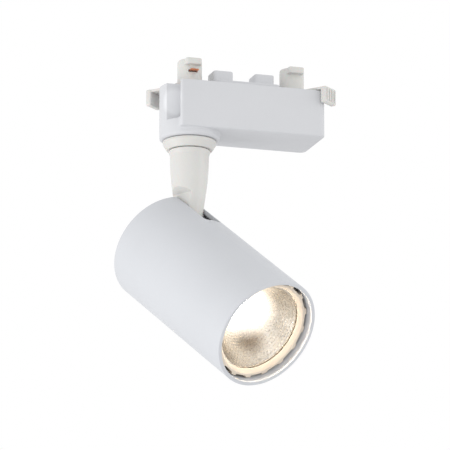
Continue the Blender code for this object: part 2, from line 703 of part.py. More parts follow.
def stem_arm():
    """Round tapered arm, hollow for the leads, milled flat on both sides where it enters the head's slot."""
    radius = STEM_PROFILE[-1][0]
    turns = [pi / 2 * step / 4 for step in range(1, 4)]
    end = [(radius * cos(turn), PIVOT_Z - radius * sin(turn)) for turn in turns]
    end.append((0.0, PIVOT_Z - radius))
    arm = turned("stem_arm", [*STEM_PROFILE, *end], IVORY, PAN_AXIS, sides=28, closed=False)
    upright = Matrix.Rotation(pi / 2, 4, "Z") @ Matrix.Rotation(pi / 2, 4, "X")
    for side in (-1, 1):
        outline = [(side * y, z) for y, z in FLAT_OUTLINE][::-side]
        mesh = plate_mesh(f"stem_flat_{side}", outline, 0.040)
        mesh.transform(upright)
        cut(arm, place(f"stem_flat_{side}", mesh, None, PAN_AXIS))
    cut(arm, rod("stem_socket", TUBE_OUTER + GAP, TUBE_BOTTOM - GAP, STEM_TOP + 0.001, None, PAN_AXIS))
    cut(arm, rod("stem_bore", STEM_BORE, -0.0820, TUBE_BOTTOM, None, PAN_AXIS, sides=20))
    cut(arm, block("stem_exit", (-0.0100, -0.0022, -0.0821), (0.0, 0.0022, -0.0750), None, PAN_AXIS))
    cut(arm, pin_hole("stem_pin_hole", PAN_AXIS, -0.01, 0.01, PIVOT_Z))


def pin_hole(name, parent, near=-0.01, far=0.01, height=0.0):
    """Cutter for the tilt bolt's hole."""
    return rod(name, PIN_RADIUS + GAP, near, far, None, parent, sides=24, axis="Y", centre=(0.0, height))


def stem_leads():
    for name, side, material in (("stem_lead_red", 1, RED_LEAD), ("stem_lead_black", -1, BLACK_LEAD)):
        y = side * 0.0011
        wire(
            name,
            [(0.0, y, -0.0140), (0.0, y, -0.0300), (0.0, y, -0.0500), (0.0, y, -0.0700),
             (-0.0012, y, -0.0765), (-0.0042, y, -0.0790)],
            material, PAN_AXIS,
        )


# ---- Head: modelled hanging straight down about the tilt pin ----
def head_barrel():
    """Open tube, slotted from its rear edge for the stem."""
    r = HEAD_RADIUS
    inner = r - HEAD_WALL
    barrel = turned(
        "head_barrel",
        [(inner, HEAD_REAR), (r - 0.0015, HEAD_REAR), (r - 0.0005, HEAD_REAR - 0.0004),
         (r, HEAD_REAR - 0.0015), (r, HEAD_FRONT + 0.0006), (r - 0.0004, HEAD_FRONT),
         (inner + 0.0004, HEAD_FRONT), (inner, HEAD_FRONT + 0.0004)],
        WHITE, TILT_AXIS, sides=60,
    )
    slot = block(
        "barrel_slot", (-0.0600, -SLOT_WIDTH / 2, -0.0600), (-SLOT_END, SLOT_WIDTH / 2, -0.0100),
        None, TILT_AXIS, upright_bevel=0.0020,
    )
    # Drawn lying down with its rounded end at +X, then stood up to open the barrel's +X side from the rear.
    slot.data.transform(Matrix.Rotation(pi / 2, 4, "Y"))
    slot.data.transform(Matrix.Rotation(pi, 4, "Z"))
    cut(barrel, slot)


def rear_cap():
    """Disc inside the barrel's rear end, slotted so that the head can hang straight down."""
    radius = HEAD_RADIUS - HEAD_WALL - GAP
    high, low = HEAD_REAR - 0.0010, HEAD_REAR - 0.0035
    cap = turned(
        "rear_cap",
        [(0.0, high), (radius - 0.0004, high), (radius, high - 0.0004), (radius, low), (0.0, low)],
        WHITE, TILT_AXIS, sides=40, closed=False,
    )
    slot = block(
        "cap_slot", (CAP_SLOT_END, -SLOT_WIDTH / 2, low - 0.01), (0.06, SLOT_WIDTH / 2, high + 0.01),
        None, TILT_AXIS, upright_bevel=0.0020,
    )
    holes = []
    for side in (-1, 1):
        spot = (CAP_SCREW_X, side * SCREW_Y)
        holes.append(rod_mesh("cap_hole", 0.0018, low - 0.001, high + 0.001, 16, centre=spot))
    cut(cap, slot, many("cap_holes", holes, TILT_AXIS))
    for number, side in enumerate((-1, 1), 1):
        screw(
            f"cap_screw_{number}", 0.0027, 0.0012, 0.0014, 0.0460, TILT_AXIS,
            (CAP_SCREW_X, side * SCREW_Y, high + 0.0003),
        )


def heat_sink():
    """Round finned block: the emitter's board bears on its front, the tilt bracket on its fins."""
    sink = rod("heat_sink", SINK_RADIUS, SINK_FRONT, SINK_REAR, SINK_ALUMINIUM, TILT_AXIS, sides=40)
    floor = SINK_FRONT + SINK_BASE
    gaps = [
        block_mesh("fin_gap", (-0.03, y - FIN_GAP_WIDTH / 2, floor), (0.03, y + FIN_GAP_WIDTH / 2, 0.0))
        for y in FIN_GAPS
    ]
    cut(sink, many("fin_gaps", gaps, TILT_AXIS))
    holes = []
    below = SINK_FRONT - 0.001
    for side in (-1, 1):
        drills = (
            ("cap_screw_hole", 0.0018, -0.0235, 0.0, (CAP_SCREW_X, side * SCREW_Y)),
            ("bracket_hole", 0.0016, -0.0215, 0.0, (0.0, side * SCREW_Y)),
            ("holder_hole", 0.0015, below, -0.0325, (side * HOLDER_SCREW_X, 0.0)),
            ("lead_hole", 0.0014, below, floor + 0.001, (LEAD_X, side * LEAD_Y)),
        )
        for name, radius, low, high, spot in drills:
            holes.append(rod_mesh(name, radius, low, high, 12, centre=spot))
    cut(sink, many("sink_holes", holes, TILT_AXIS))


def tilt_bracket():
    """U-shaped bracket on the heat sink; the stem's flattened end sits between its cheeks."""
    plate_low = SINK_REAR + GAP
    plate_high = plate_low + 0.0016
    bracket = block(
        "tilt_bracket", (-0.0085, -0.0135, plate_low), (0.0085, 0.0135, plate_high), STEEL, TILT_AXIS,
        upright_bevel=0.0020,
    )
    radius = 0.0072
    arc = [(radius * cos(pi * step / 10), radius * sin(pi * step / 10)) for step in range(11)]
    outline = [*arc, (-radius, plate_low + 0.0006), (radius, plate_low + 0.0006)]
    stand = Matrix.Rotation(pi / 2, 4, "X")
    for side in (-1, 1):
        mesh = plate_mesh(f"cheek_{side}", outline, 0.0018)
        mesh.transform(Matrix.Translation((0.0, side * 0.0060, 0.0)) @ stand)
        join(bracket, place(f"cheek_{side}", mesh, None, TILT_AXIS))
    cut(bracket, pin_hole("bracket_pin_hole", TILT_AXIS))
    below, above = plate_low - 0.001, plate_high + 0.001
    holes = [
        rod_mesh("bracket_screw_hole", 0.0016, below, above, 12, centre=(0.0, side * SCREW_Y))
        for side in (-1, 1)
    ]
    cut(bracket, many("bracket_holes", holes, TILT_AXIS))
    for number, side in enumerate((-1, 1), 1):
        screw(
            f"bracket_screw_{number}", 0.0021, 0.0015, 0.0013, 0.0095, TILT_AXIS,
            (0.0, side * SCREW_Y, plate_high + GAP),
        )


def tilt_pin():
    """Bolt, nut and the two washers that hold the head's tilt by friction."""
    bolt = turned(
        "tilt_bolt",
        [(0.0, 0.0099), (0.0033, 0.0099), (0.0042, 0.0090), (0.0042, 0.0072), (PIN_RADIUS, 0.0072),
         (PIN_RADIUS, -0.0115), (0.0, -0.0115)],
        STEEL, TILT_AXIS, sides=24, closed=False,
    )
    bolt.rotation_euler = (pi / 2, 0.0, 0.0)
    nut = rod("tilt_nut", 0.0044, 0.0072, 0.0102, STEEL, TILT_AXIS, sides=6, axis="Y")
    cut(nut, pin_hole("tilt_nut_bore", TILT_AXIS, 0.006, 0.012))
    for name, side in (("tilt_washer_left", -1), ("tilt_washer_right", 1)):
        near, far = sorted((side * 0.0043, side * 0.0048))
        washer = rod(name, 0.0065, near, far, POM, TILT_AXIS, sides=24, axis="Y")
        cut(washer, pin_hole(f"{name}_hole", TILT_AXIS, near - 0.001, far + 0.001))


def light_engine():
    """Emitter board, its glowing disc, and the holder that clamps it to the heat sink."""
    half = 0.0070
    board_rear = SINK_FRONT - GAP
    board_front = board_rear - 0.0010
    block("cob_board", (-half, -half, board_front), (half, half, board_rear), CERAMIC, TILT_AXIS)
    face = board_front - GAP
    rod("cob_emitter", EMITTER_RADIUS, face - 0.0005, face, PHOSPHOR, TILT_AXIS)
    holder = turned(
        "cob_holder",
        [(HOLDER_RADIUS, board_rear), (HOLDER_RADIUS, HOLDER_FRONT + 0.0008),
         (HOLDER_RADIUS - 0.0008, HOLDER_FRONT), (0.0072, HOLDER_FRONT), (0.0062, face - 0.0006),
         (0.0062, board_rear)],
        HOLDER_WHITE, TILT_AXIS, sides=28,
    )
    room, above = half + GAP, board_rear + 0.001
    pocket = block("holder_pocket", (-room, -room, board_front - GAP), (room, room, above), None, TILT_AXIS)
    below = HOLDER_FRONT - 0.001
    holes = [
        rod_mesh("holder_screw_hole", 0.0015, below, above, 12, centre=(side * HOLDER_SCREW_X, 0.0))
        for side in (-1, 1)
    ]
    cut(holder, pocket, many("holder_holes", holes, TILT_AXIS))
    for number, side in enumerate((-1, 1), 1):
        made = screw(
            f"holder_screw_{number}", 0.0022, 0.0012, 0.0012, 0.0070, TILT_AXIS,
            (side * HOLDER_SCREW_X, 0.0, HOLDER_FRONT - GAP),
        )
        made.rotation_euler = (pi, 0.0, 0.0)
        bpy.data.objects[f"holder_screw_{number}_socket"].rotation_euler = (pi, 0.0, 0.0)


def reflector_radius(height):
    """Inner radius of the parabolic reflector."""
    share = (REFLECTOR_REAR - height) / (REFLECTOR_REAR - REFLECTOR_FRONT)
    return sqrt(REFLECTOR_THROAT ** 2 + share * (REFLECTOR_MOUTH ** 2 - REFLECTOR_THROAT ** 2))


def reflector():
    count = 6
    heights = [REFLECTOR_REAR + (REFLECTOR_FRONT - REFLECTOR_REAR) * i / count for i in range(count + 1)]
    inside = [(reflector_radius(z), z) for z in heights]
    outside = [(radius + REFLECTOR_WALL, z) for radius, z in inside]
    rim, rim_rear = REFLECTOR_MOUTH + 0.0019, REFLECTOR_FRONT + 0.0008
    outside[-1] = (outside[-1][0], rim_rear)
    flange = [(rim, rim_rear), (rim, REFLECTOR_FRONT)]
    turned("reflector", [*outside, *flange, *reversed(inside)], MIRROR_ALUMINIUM, TILT_AXIS, sides=36)


def bezel_ring():
    """Funnel ring that keeps the reflector in, with a row of vent notches round its edge."""
    rear = REFLECTOR_FRONT - GAP
    skirt_rear = REFLECTOR_FRONT + 0.0054
    ring = turned(
        "bezel_ring",
        [(0.0248, skirt_rear), (0.0248, -0.0604), (0.0252, -0.0604), (0.0252, BEZEL_FRONT + 0.0002),
         (0.0250, BEZEL_FRONT), (0.0232, BEZEL_FRONT), (0.0213, rear), (0.0234, rear), (0.0234, skirt_rear)],
        BEZEL_IVORY, TILT_AXIS, sides=48,
    )
    half = 0.0243 * sin(pi / BEZEL_SLOTS) * 0.76
    notches = []
    for number in range(BEZEL_SLOTS):
        mesh = block_mesh("notch", (0.0236, -half, BEZEL_FRONT - 0.001), (0.0270, half, -0.0608))
        mesh.transform(Matrix.Rotation(2 * pi * number / BEZEL_SLOTS, 4, "Z"))
        notches.append(mesh)
    cut(ring, many("bezel_notches", notches, TILT_AXIS))


def head_leads():
    for name, side, material in (("head_lead_red", 1, RED_LEAD), ("head_lead_black", -1, BLACK_LEAD)):
        slot_y = side * 0.0046
        wire(
            name,
            [(-0.0112, side * 0.0022, 0.0030), (-0.0135, side * 0.0036, -0.0050), (-0.0160, slot_y, -0.0130),
             (-0.0190, slot_y, -0.0240), (-0.0205, slot_y, -0.0310), (-0.0205, slot_y, -0.0362),
             (-0.0198, slot_y, -0.0380), (-0.0174, slot_y, -0.0386)],
            material, TILT_AXIS,
        )


def build():
    adapter_housing()
    adapter_cover()
    cover_screws()
    turrets()
    driver_parts()
    adapter_leads()
    swivel()
    stem_arm()
    stem_leads()
    head_barrel()
    rear_cap()
    heat_sink()
    tilt_bracket()
    tilt_pin()
    light_engine()
    reflector()
    bezel_ring()
    head_leads()


build()
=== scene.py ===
"""Looks of the track spotlight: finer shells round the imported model, procedural materials, light and camera.

Metres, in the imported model's frame: the origin is the centre of the adapter's seat, +X runs along the track
and +Z up into it.
"""
import json
from math import atan2, cos, pi, radians, sin, sqrt, tan

import bmesh
import bpy
from mathutils import Matrix, Vector


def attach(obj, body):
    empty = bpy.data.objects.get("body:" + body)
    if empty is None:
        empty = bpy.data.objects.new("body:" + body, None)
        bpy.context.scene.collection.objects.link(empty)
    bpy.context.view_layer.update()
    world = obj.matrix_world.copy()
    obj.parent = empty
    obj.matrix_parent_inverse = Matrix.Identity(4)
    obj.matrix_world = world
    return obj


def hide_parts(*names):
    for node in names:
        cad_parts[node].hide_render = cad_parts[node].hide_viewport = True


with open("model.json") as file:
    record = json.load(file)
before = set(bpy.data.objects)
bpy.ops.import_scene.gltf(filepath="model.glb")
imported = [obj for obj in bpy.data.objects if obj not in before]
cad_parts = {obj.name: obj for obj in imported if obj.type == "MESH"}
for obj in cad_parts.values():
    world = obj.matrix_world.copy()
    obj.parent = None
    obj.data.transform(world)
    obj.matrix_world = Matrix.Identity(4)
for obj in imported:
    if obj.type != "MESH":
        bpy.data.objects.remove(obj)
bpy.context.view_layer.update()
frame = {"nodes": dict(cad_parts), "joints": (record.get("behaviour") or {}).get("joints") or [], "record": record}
JOINTS = {joint["name"]: joint for joint in frame["joints"]}

# ---- Places that the frame gives ----
PAN_AXIS = Vector(JOINTS["tilt"]["axis"])
PAN = atan2(-PAN_AXIS.x, PAN_AXIS.y)
PIVOT = Vector(JOINTS["tilt"]["pos_m"])
HUB_X = JOINTS["lock_lever_turn"]["pos_m"][0]
TILT = radians(37.0)                    # beam below level at rest

ADAPTER = Matrix.Identity(4)
LEFT_HUB = Matrix.Translation((-HUB_X, 0.0, 0.0))
RIGHT_HUB = Matrix.Translation((HUB_X, 0.0, 0.0))
STEM = Matrix.Translation((PIVOT.x, PIVOT.y, 0.0)) @ Matrix.Rotation(PAN, 4, "Z")
HEAD = Matrix.Translation(PIVOT) @ Matrix.Rotation(PAN, 4, "Z") @ Matrix.Rotation(TILT - pi / 2, 4, "Y")

# ---- Sizes, as in the design ----
BOX_LEFT = -0.0353
BOX_RIGHT = 0.0383
BOX_HALF_Y = 0.0165
BOX_BOTTOM = -0.0251
BOX_TOP = -0.0020
BOX_WALL = 0.0020
BOX_FLOOR = BOX_BOTTOM + BOX_WALL
LEFT_CORNER = 0.0014
RIGHT_CORNER = 0.0035
INNER_CORNER = 0.0010
COVER_THICK = 0.0020
BOSS_RADIUS = 0.0147
BOSS_TOP = -0.0204
BOSS_BOTTOM = -0.0286
BOSS_FLARE = 0.0011                     # fillet between the box's bottom and the boss
COLUMN_HALF_WIDTH = 0.0061
END_WALL = -0.0314                      # outside of the end wall, in the pockets beside the column
LIP_THICK = 0.0016
HUB_ROOM = 0.0073
TAB_ROOM = (0.0095, -0.0214)            # radius, ceiling
STOP_POST = (0.0080, 0.0104, 0.0006)    # nearest and farthest reach, half its width
POSTS = [                               # the four posts under the cover's screws
    (x, side * y, radius)
    for x, y, radius in ((-0.0265, 0.0117, 0.0022), (0.0333, 0.0116, 0.0032))
    for side in (-1, 1)
]
BOARD_RESTS = [(x, y) for x in (-0.0080, 0.0240) for y in (-0.0095, 0.0095)]    # under the board's corners
BOARD_REST_RADIUS = 0.0018
BOARD_REST_TOP = -0.0209
PILOT_RADIUS = 0.0013                   # of the holes for the cover's screws
PILOT_DEPTH = 0.0090
SEAT_HALF_SIZE = (0.0160, 0.0135)
KEEL_X = 0.0105
KEEL_HALF_SIZE = (0.0050, 0.0055)
KEEL_TOP = 0.0070
HUB_HOLE = 0.0064
TUBE_RADIUS = 0.0049
PIN_RADIUS = 0.0024
HEAD_RADIUS = 0.0275
HEAD_WALL = 0.0019
HEAD_REAR = 0.0249
HEAD_FRONT = -0.0661
SLOT_WIDTH = 0.0108
SLOT_END = -0.0010
CAP_INSET = 0.0010                      # of the rear cap, in from the barrel's rear
CAP_THICK = 0.0025
CAP_SLOT_END = -0.0082
CAP_SCREW = (-0.0150, 0.0093)
COVER_SCREW_SIZES = (0.0018, 0.0009, 0.0010, 0.0085)    # head radius, head height, shaft radius, length
CAP_SCREW_SIZES = (0.0027, 0.0012, 0.0014, 0.0460)
REFLECTOR = (-0.0406, -0.0594, 0.0066, 0.0211)  # rear, front, throat radius, mouth radius
REFLECTOR_WALL = 0.0010
BEZEL_REAR = -0.0540
BEZEL_FRONT = -0.0623
BEZEL_RADIUS = 0.0252
BEZEL_INNER = 0.0234
BEZEL_NOTCHES = 16
NOTCH_SHARE = 0.72                      # of the ring that is notched away
LOCKED = radians(-50.0)
PLUG_RADIUS = 0.0060
TAB_INNER = 0.0194                      # finger tab, from the turret's axis
TAB_OUTER = 0.0224
GAP = 0.0003
PAST = 0.001                            # how far a cutter runs past the face that it opens
WELL_PAST = 0.010                       # the same, where the cutter has free room
FINE_EDGE = 0.00025                     # radius of the edges that cuts leave
TINY = 1e-6                             # coordinates closer than this are the same

# ---- Camera and light ----
VIEW_AZIMUTH = radians(17.5)            # the view runs towards +Y, turned this far towards +X
VIEW_ELEVATION = radians(14.15)         # and this far upwards
VIEW_DISTANCE = 1.735
VIEW_CENTRE = Vector((-0.0135, -0.017, -0.0735))
LENS = 290.0
SENSOR_WIDTH = 36.0
FLOOR_Z = -1.30
FLOOR_HALF_SIZE = 12.0
SOFTBOX_SIZE = 0.8
SOFTBOXES = {                           # place and watts
    "left_softbox": ((-1.12, -0.06, -0.62), 6.6),
    "right_softbox": ((1.12, -0.58, -0.06), 2.7),
    "front_softbox": ((-0.35, -1.25, -0.10), 1.1),
}
EMITTER_STRENGTH = 115.0
PAINTED_GLOW_CENTRE = HEAD @ Vector((0.0020, 0.0040, -0.0400))     # painted reflection: the reflector's surface glows round here, in place of the lamp's light that it throws back
PAINTED_SHADE_SPOT = HEAD @ Vector((-0.0107, 0.0089, -0.0476))      # painted shade: the reflector is darkened round here, where less of the lamp reaches


# ---- Shapes ----
def to_object(name, bm):
    mesh = bpy.data.meshes.new(name)
    bm.to_mesh(mesh)
    bm.free()
    made = bpy.data.objects.new(name, mesh)
    bpy.context.scene.collection.objects.link(made)
    return made


def round_edges(bm, edges, radius, segments):
    bmesh.ops.bevel(bm, geom=edges, offset=radius, segments=segments, affect="EDGES", profile=0.5)


def rounded(corners):
    """A line of (x, y) points from (x, y, fillet radius) corners; the ends stay sharp."""
    line = [Vector(corners[0][:2])]
    for before, corner, after in zip(corners, corners[1:], corners[2:]):
        line.extend(fillet(Vector(before[:2]), Vector(corner[:2]), Vector(after[:2]), corner[2]))
    line.append(Vector(corners[-1][:2]))
    return [(point.x, point.y) for point in line]


def fillet(before, corner, after, radius):
    """Points of the arc that rounds a corner, or the corner itself where the radius is nothing."""
    if radius <= 0.0:
        return [corner]
    into, out = (before - corner).normalized(), (after - corner).normalized()
    half = into.angle(out) / 2
    reach = radius / tan(half)
    middle = corner + (into + out).normalized() * (radius / sin(half))
    start, end = corner + into * reach, corner + out * reach
    first, last = start - middle, end - middle
    turn = first.angle(last)
    pieces = 6
    points = []
    for step in range(pieces + 1):
        share = step / pieces
        arm = (first * sin((1 - share) * turn) + last * sin(share * turn)) / sin(turn)
        points.append(middle + arm)
    return points


def ring_of_verts(bm, radius, height, sides):
    turns = [2 * pi * i / sides for i in range(sides)]
    return [bm.verts.new((radius * cos(a), radius * sin(a), height)) for a in turns]


def turned(name, corners, sides=96, closed=True):
    """A profile of (radius, height, fillet) corners turned about Z, running down the outer side first."""
    if closed:
        corners = [*corners, (*corners[0][:2], 0.0)]
    line = rounded(corners)
    bm = bmesh.new()
    if closed:
        line.pop()
    rings = []
    for radius, height in line:
        if radius < TINY:
            rings.append([bm.verts.new((0.0, 0.0, height))])
        else:
            rings.append(ring_of_verts(bm, radius, height, sides))
    pairs = list(zip(rings, rings[1:]))
    if closed:
        pairs.append((rings[-1], rings[0]))
    for upper, lower in pairs:
        for i in range(sides):
            j = (i + 1) % sides
            corner = [
                upper[i % len(upper)], lower[i % len(lower)], lower[j % len(lower)], upper[j % len(upper)],
            ]
            face = [vert for n, vert in enumerate(corner) if vert not in corner[:n]]
            if len(face) > 2:
                bm.faces.new(face)
    bmesh.ops.recalc_face_normals(bm, faces=bm.faces)
    return to_object(name, bm)


def is_upright(edge):
    return abs(edge.verts[0].co.z - edge.verts[1].co.z) > TINY


def block(name, low, high, upright=0.0, edge=0.0):
    """A box between two corners, its upright edges and then all its sharp edges rounded."""
    bm = bmesh.new()
    bmesh.ops.create_cube(bm, size=1.0)
    for vert in bm.verts:
        vert.co = Vector(low[i] + (vert.co[i] + 0.5) * (high[i] - low[i]) for i in range(3))
    if upright:
        round_edges(bm, [e for e in bm.edges if is_upright(e)], upright, 6)
    if edge:
        round_edges(bm, [e for e in bm.edges if e.calc_face_angle(0.0) > radians(50)], edge, 3)
    return to_object(name, bm)


def rod(name, radius, low, high, centre=(0.0, 0.0), axis="Z", sides=48):
    bm = bmesh.new()
    bmesh.ops.create_cone(bm, cap_ends=True, segments=sides, radius1=radius, radius2=radius, depth=high - low)
    middle = (low + high) / 2
    if axis == "Y":
        matrix = Matrix.Translation((centre[0], middle, centre[1])) @ Matrix.Rotation(-pi / 2, 4, "X")
    else:
        matrix = Matrix.Translation((centre[0], centre[1], middle))
    bmesh.ops.transform(bm, matrix=matrix, verts=bm.verts)
    return to_object(name, bm)


def prism(name, outline, low, high):
    """An outline in the YZ plane, drawn out along X."""
    bm = bmesh.new()
    face = bm.faces.new([bm.verts.new((low, y, z)) for y, z in outline])
    drawn = bmesh.ops.extrude_face_region(bm, geom=[face])
    moved = [item for item in drawn["geom"] if isinstance(item, bmesh.types.BMVert)]
    bmesh.ops.translate(bm, verts=moved, vec=(high - low, 0.0, 0.0))
    bmesh.ops.recalc_face_normals(bm, faces=bm.faces)
    return to_object(name, bm)


def combine(target, operation, *others):
    """Joins, cuts or intersects target with each of the others, which are then removed."""
    for other in others:
        modifier = target.modifiers.new("combine", "BOOLEAN")
        modifier.operation = operation
        modifier.solver = "EXACT"
        modifier.object = other
    apply_modifiers(target)
    for other in others:
        bpy.data.objects.remove(other, do_unlink=True)
    return target


def apply_modifiers(target):
    bpy.context.view_layer.update()
    evaluated = target.evaluated_get(bpy.context.evaluated_depsgraph_get())
    mesh = bpy.data.meshes.new_from_object(evaluated)
    target.modifiers.clear()
    target.data = mesh


def soften(target, width, angle, segments=2):
    """Rounds the sharp edges that the cuts left."""
    bevel = target.modifiers.new("soften", "BEVEL")
    bevel.width = width
    bevel.segments = segments
    bevel.limit_method = "ANGLE"
    bevel.angle_limit = radians(angle)
    bevel.use_clamp_overlap = True
    apply_modifiers(target)
    return target


def finish_piece(target, place, body, nodes, slot, sharp=35.0):
    target.data.transform(place)
    target.data.shade_smooth()
    target.data.set_sharp_from_angle(angle=radians(sharp))
    target.data.materials.clear()
    target.data.materials.append(MATERIALS[slot])
    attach(target, body)
    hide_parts(*nodes)


# ---- Materials ----
def linear(red, green, blue):
    """A colour from 0 to 255 sRGB values."""
    def channel(value):
        share = value / 255
        return share / 12.92 if share <= 0.04045 else ((share + 0.055) / 1.055) ** 2.4
    return (channel(red), channel(green), channel(blue), 1.0)


class Surface:
    """A Principled material whose nodes are added one detail at a time."""

    MIX_FIRST, MIX_SECOND, MIX_RESULT = 6, 7, 2     # a Mix node's colour sockets

    def __init__(self, name, colour, roughness, metallic=0.0):
        self.material = bpy.data.materials.new(name)
        self.material.use_nodes = True
        self.tree = self.material.node_tree
        self.shader = self.tree.nodes["Principled BSDF"]
        self.shader.inputs["Metallic"].default_value = metallic
        self.place = self.add("ShaderNodeTexCoord").outputs["Object"]
        self.colour = colour
        self.colour_socket = None
        self.roughness = roughness
        self.roughness_socket = None
        self.normal_socket = None

    def add(self, kind, **settings):
        node = self.tree.nodes.new(kind)
        for name, value in settings.items():
            setattr(node, name, value)
        return node

    def link(self, source, target):
        self.tree.links.new(source, target)

    def noise(self, scale, detail=3.0, stretch=None):
        node = self.add("ShaderNodeTexNoise")
        node.inputs["Scale"].default_value = scale
        node.inputs["Detail"].default_value = detail
        source = self.place
        if stretch:
            mapping = self.add("ShaderNodeMapping")
            mapping.inputs["Scale"].default_value = stretch
            self.link(source, mapping.inputs["Vector"])
            source = mapping.outputs["Vector"]
        self.link(source, node.inputs["Vector"])
        return node.outputs["Fac"]

    def cells(self, scale):
        node = self.add("ShaderNodeTexVoronoi", feature="F1")
        node.inputs["Scale"].default_value = scale
        self.link(self.place, node.inputs["Vector"])
        return node.outputs["Distance"]

    def spread(self, value, low, high, from_low=0.3, from_high=0.7):
        node = self.add("ShaderNodeMapRange")
        node.inputs["From Min"].default_value = from_low
        node.inputs["From Max"].default_value = from_high
        node.inputs["To Min"].default_value = low
        node.inputs["To Max"].default_value = high
        self.link(value, node.inputs["Value"])
        return node.outputs["Result"]

    def tint(self, value, colour):
        """Mixes another colour in by value."""
        node = self.add("ShaderNodeMix", data_type="RGBA")
        self.link(value, node.inputs["Factor"])
        if self.colour_socket:
            self.link(self.colour_socket, node.inputs[self.MIX_FIRST])
        else:
            node.inputs[self.MIX_FIRST].default_value = self.colour
        node.inputs[self.MIX_SECOND].default_value = colour
        self.colour_socket = node.outputs[self.MIX_RESULT]
        return self

    def vary(self, scale, colour, amount):
        """Mixes another colour in by a noise, up to amount."""
        return self.tint(self.spread(self.noise(scale), 0.0, amount), colour)

    def mottle(self, scale, low, high):
        """Roughness that wanders between two values."""
        self.roughness_socket = self.spread(self.noise(scale, 4.0), low, high)
        return self

    def bump(self, height, depth, strength):
        node = self.add("ShaderNodeBump")
        node.inputs["Distance"].default_value = depth
        node.inputs["Strength"].default_value = strength
        self.link(height, node.inputs["Height"])
        if self.normal_socket:
            self.link(self.normal_socket, node.inputs["Normal"])
        self.normal_socket = node.outputs["Normal"]
        return self

    def near(self, point, full, none, strength):
        """A value that fades with the distance from a point, from strength at full to nothing at none."""
        node = self.add("ShaderNodeVectorMath", operation="DISTANCE")
        self.link(self.place, node.inputs[0])
        node.inputs[1].default_value = point
        fade = self.add("ShaderNodeMapRange", interpolation_type="SMOOTHSTEP")
        fade.inputs["From Min"].default_value = full
        fade.inputs["From Max"].default_value = none
        fade.inputs["To Min"].default_value = strength
        fade.inputs["To Max"].default_value = 0.0
        self.link(node.outputs["Value"], fade.inputs["Value"])
        return fade.outputs["Result"]

    def glow(self, strength):
        self.link(strength, self.shader.inputs["Emission Strength"])
        return self

    def set(self, **values):
        """Constants on the shader's own sockets, by their names with underscores for spaces."""
        for name, value in values.items():
            self.shader.inputs[name.replace("_", " ")].default_value = value
        return self

    def done(self):
        if self.colour_socket:
            self.link(self.colour_socket, self.shader.inputs["Base Color"])
        else:
            self.shader.inputs["Base Color"].default_value = self.colour
        if self.roughness_socket:
            self.link(self.roughness_socket, self.shader.inputs["Roughness"])
        else:
            self.shader.inputs["Roughness"].default_value = self.roughness
        if self.normal_socket:
            self.link(self.normal_socket, self.shader.inputs["Normal"])
        return self.material


def white_paint():
    """Matt powder coat: a fine orange peel with a few denser specks."""
    paint = Surface("white_paint", linear(198, 200, 204), 0.5)
    paint.vary(35.0, linear(202, 204, 208), 0.7)
    paint.vary(2600.0, linear(191, 193, 197), 0.35)
    paint.mottle(60.0, 0.42, 0.56)
    paint.bump(paint.noise(1500.0, 2.0), 0.00003, 0.5)
    paint.bump(paint.noise(5200.0, 1.0), 0.000012, 0.6)
    return paint.set(Specular_IOR_Level=0.4).done()


def housing_plastic():
    """Fine spark-eroded moulding texture, with painted light in the pockets at the left end: a lighter colour
    there offsets the shade that falls in them.
    """
    plastic = Surface("housing_plastic", linear(203, 204, 207), 0.5)
    plastic.vary(28.0, linear(207, 208, 211), 0.6)
    plastic.vary(3200.0, linear(195, 196, 199), 0.3)
    # painted light: the pockets' colour is lightened to offset the shade in them
    for side in (-1, 1):
        pocket = (BOX_LEFT, side * 0.0085, BOX_TOP / 2 + BOSS_TOP / 2)
        plastic.tint(plastic.near(pocket, 0.0055, 0.0085, 0.65), linear(227, 228, 231))
    plastic.mottle(90.0, 0.46, 0.6)
    plastic.bump(plastic.cells(2400.0), 0.000016, 0.55)
    return plastic.set(Specular_IOR_Level=0.35).done()


def ivory_plastic():
    plastic = Surface("ivory_plastic", linear(207, 206, 203), 0.42)
    plastic.vary(60.0, linear(211, 210, 206), 0.7)
    plastic.vary(1400.0, linear(200, 199, 195), 0.3)
    plastic.mottle(110.0, 0.36, 0.5)
    plastic.bump(plastic.noise(3000.0, 2.0), 0.00001, 0.5)
    return plastic.set(Subsurface_Weight=0.08, Subsurface_Scale=0.002).done()


def bezel_plastic():
    plastic = Surface("bezel_plastic", linear(224, 212, 196), 0.38)
    plastic.vary(80.0, linear(216, 202, 184), 0.6)
    plastic.mottle(150.0, 0.32, 0.46)
    plastic.bump(plastic.noise(2600.0, 2.0), 0.00001, 0.4)
    return plastic.done()


def steel():
    metal = Surface("zinc_steel", linear(196, 197, 198), 0.3, 1.0)
    metal.vary(260.0, linear(170, 172, 176), 0.7)
    metal.vary(1800.0, linear(208, 206, 200), 0.4)
    metal.mottle(700.0, 0.22, 0.42)
    metal.bump(metal.noise(4000.0, 2.0, (1.0, 1.0, 6.0)), 0.000008, 0.5)
    return metal.done()


def copper():
    metal = Surface("copper", linear(214, 140, 100), 0.28, 1.0)
    metal.vary(300.0, linear(178, 104, 74), 0.7)
    metal.mottle(900.0, 0.2, 0.42)
    metal.bump(metal.noise(5000.0, 2.0), 0.000006, 0.5)
    return metal.done()


def sink_aluminium():
    metal = Surface("sink_aluminium", linear(196, 198, 201), 0.38, 1.0)
    metal.vary(220.0, linear(168, 170, 174), 0.6)
    metal.mottle(800.0, 0.3, 0.5)
    metal.bump(metal.noise(2500.0, 3.0), 0.00002, 0.5)
    return metal.done()


